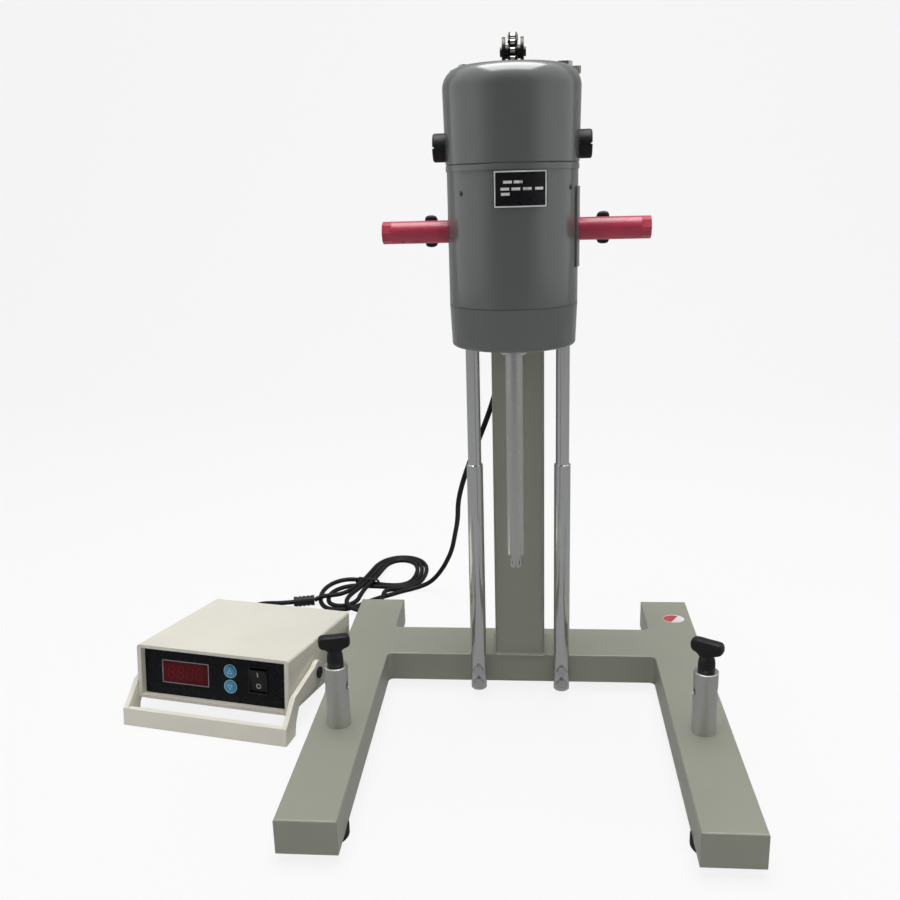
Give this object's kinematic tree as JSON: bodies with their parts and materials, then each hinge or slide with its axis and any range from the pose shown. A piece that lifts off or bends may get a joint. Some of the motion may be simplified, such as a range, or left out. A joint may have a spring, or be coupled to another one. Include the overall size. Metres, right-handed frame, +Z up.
{
  "type": "rotor stator homogenizer",
  "caption": "Floor-frame rotor stator homogenizer: motor head on two guide rods with a chain lift and counterweight, clamp posts with T knobs, and a tilted speed control box on a bail.",
  "frame": {"origin": "the point of the bench directly below the dispersing shaft's axis, where a vessel stands", "axes": "+X to the right along the floor frame's beam, +Y from the front of the legs to the beam and column, +Z up along the shaft"},
  "size_m": [0.8097, 0.889, 0.8875],
  "materials": {
    "enamel": "semi-gloss",
    "motor_paint": "gloss",
    "case_paint": "semi-gloss",
    "chrome": "polished",
    "satin_steel": "satin",
    "zinc_steel": "zinc plated",
    "chain_steel": "oiled",
    "iron": "bare",
    "bronze": "satin",
    "black_plastic": "matte",
    "grip_plastic": "satin",
    "panel_black": "gloss",
    "display_red": "gloss",
    "button_blue": "satin",
    "rubber": "matte",
    "label_black": "satin"
  },
  "bodies": {
    "stand": {"base_frame": "enamel", "feet": "rubber", "column": "enamel", "top_bar": "enamel", "guide_rod_left": "chrome", "guide_rod_right": "chrome", "stop_sleeves": "satin_steel", "top_bolts": "zinc_steel", "base_bolts": "zinc_steel", "chain_bracket": "satin_steel", "wheel_axle": "satin_steel", "lift_chain": "chain_steel", "chain_runs": "chain_steel", "post_left": "zinc_steel", "post_right": "zinc_steel", "case_base": "case_paint", "case_feet": "rubber", "case_cover": "case_paint", "front_frame": "case_paint", "front_panel": "panel_black", "display_window": "display_red", "rocker_bezel": "black_plastic", "rear_socket": "satin_steel", "cable_plug": "black_plastic", "bail_pivots": "black_plastic", "box_cable": "rubber", "motor_cable": "rubber", "cable_hank": "rubber", "cable_coupling": "black_plastic"},
    "head": {"carriage": "motor_paint", "slide_bushes": "bronze", "chain_anchor": "satin_steel", "motor_shell": "motor_paint", "motor_cap": "motor_paint", "lower_shell": "motor_paint", "collar": "satin_steel", "stator_tube": "satin_steel", "stator_tip": "satin_steel", "bearings": "bronze", "field_stator": "iron", "brush_caps": "black_plastic", "grip_left": "grip_plastic", "grip_right": "grip_plastic", "grip_studs": "satin_steel", "nameplate": "label_black", "side_plate": "motor_paint", "cable_gland": "black_plastic"},
    "rotor": {"rotor_shaft": "satin_steel", "rotor_blades": "satin_steel", "armature": "iron"},
    "lock_knob_left": {"lock_knob_left": "black_plastic"},
    "lock_knob_right": {"lock_knob_right": "black_plastic"},
    "post_knob_left": {"post_knob_left": "black_plastic"},
    "post_knob_right": {"post_knob_right": "black_plastic"},
    "weight": {"counterweight": "iron"},
    "wheel": {"chain_wheel": "satin_steel"},
    "bail": {"bail": "case_paint"},
    "rocker": {"rocker_switch": "black_plastic"},
    "button_up": {"button_up": "button_blue"},
    "button_down": {"button_down": "button_blue"}
  },
  "joints": [
    {"name": "head_lift", "type": "slide", "parent": "stand", "child": "head", "axis": [0, 0, 1], "range_m": [-0.2115, 0], "deforming": ["motor_cable"]},
    {"name": "weight_slide", "type": "slide", "parent": "stand", "child": "weight", "axis": [0, 0, 1], "range_m": [0, 0.2115]},
    {"name": "wheel_turn", "type": "hinge", "parent": "stand", "child": "wheel", "pos_m": [0, 0.113, 0.865], "axis": [1, 0, 0], "range_deg": [-5, 670]},
    {"name": "rotor_spin", "type": "hinge", "parent": "head", "child": "rotor", "pos_m": [0, 0, 0.645], "axis": [0, 0, 1], "continuous": true},
    {"name": "lock_knob_left_turn", "type": "hinge", "parent": "head", "child": "lock_knob_left", "pos_m": [-0.089, 0.094, 0.6537], "axis": [1, 0, 0], "range_deg": [0, 180]},
    {"name": "lock_knob_right_turn", "type": "hinge", "parent": "head", "child": "lock_knob_right", "pos_m": [0.095, 0.094, 0.6537], "axis": [-1, 0, 0], "range_deg": [0, 180]},
    {"name": "post_knob_left_turn", "type": "hinge", "parent": "stand", "child": "post_knob_left", "pos_m": [-0.224, -0.086, 0.15], "axis": [0, 0, 1], "range_deg": [0, 180]},
    {"name": "post_knob_right_turn", "type": "hinge", "parent": "stand", "child": "post_knob_right", "pos_m": [0.23, -0.086, 0.15], "axis": [0, 0, 1], "range_deg": [0, 180]},
    {"name": "bail_swing", "type": "hinge", "parent": "stand", "child": "bail", "pos_m": [-0.40226, 0.07805, 0.04907], "axis": [-0.9822, 0.1879, 0], "range_deg": [0, 150]},
    {"name": "rocker_tip", "type": "hinge", "parent": "stand", "child": "rocker", "pos_m": [-0.3504, 0.00056, 0.06633], "axis": [-0.9822, 0.1879, 0], "range_deg": [0, 18]},
    {"name": "button_up_press", "type": "slide", "parent": "stand", "child": "button_up", "axis": [0.1864, 0.9744, -0.1255], "range_m": [0, 0.002], "stiffness_N_per_m": 400, "springref_m": -0.0005},
    {"name": "button_down_press", "type": "slide", "parent": "stand", "child": "button_down", "axis": [0.1864, 0.9744, -0.1255], "range_m": [0, 0.002], "stiffness_N_per_m": 400, "springref_m": -0.0005}
  ],
  "couplings": [
    {"joint": "weight_slide", "follows": "head_lift", "ratio": -1},
    {"joint": "wheel_turn", "follows": "head_lift", "rad_per_m": -54.345}
  ]
}
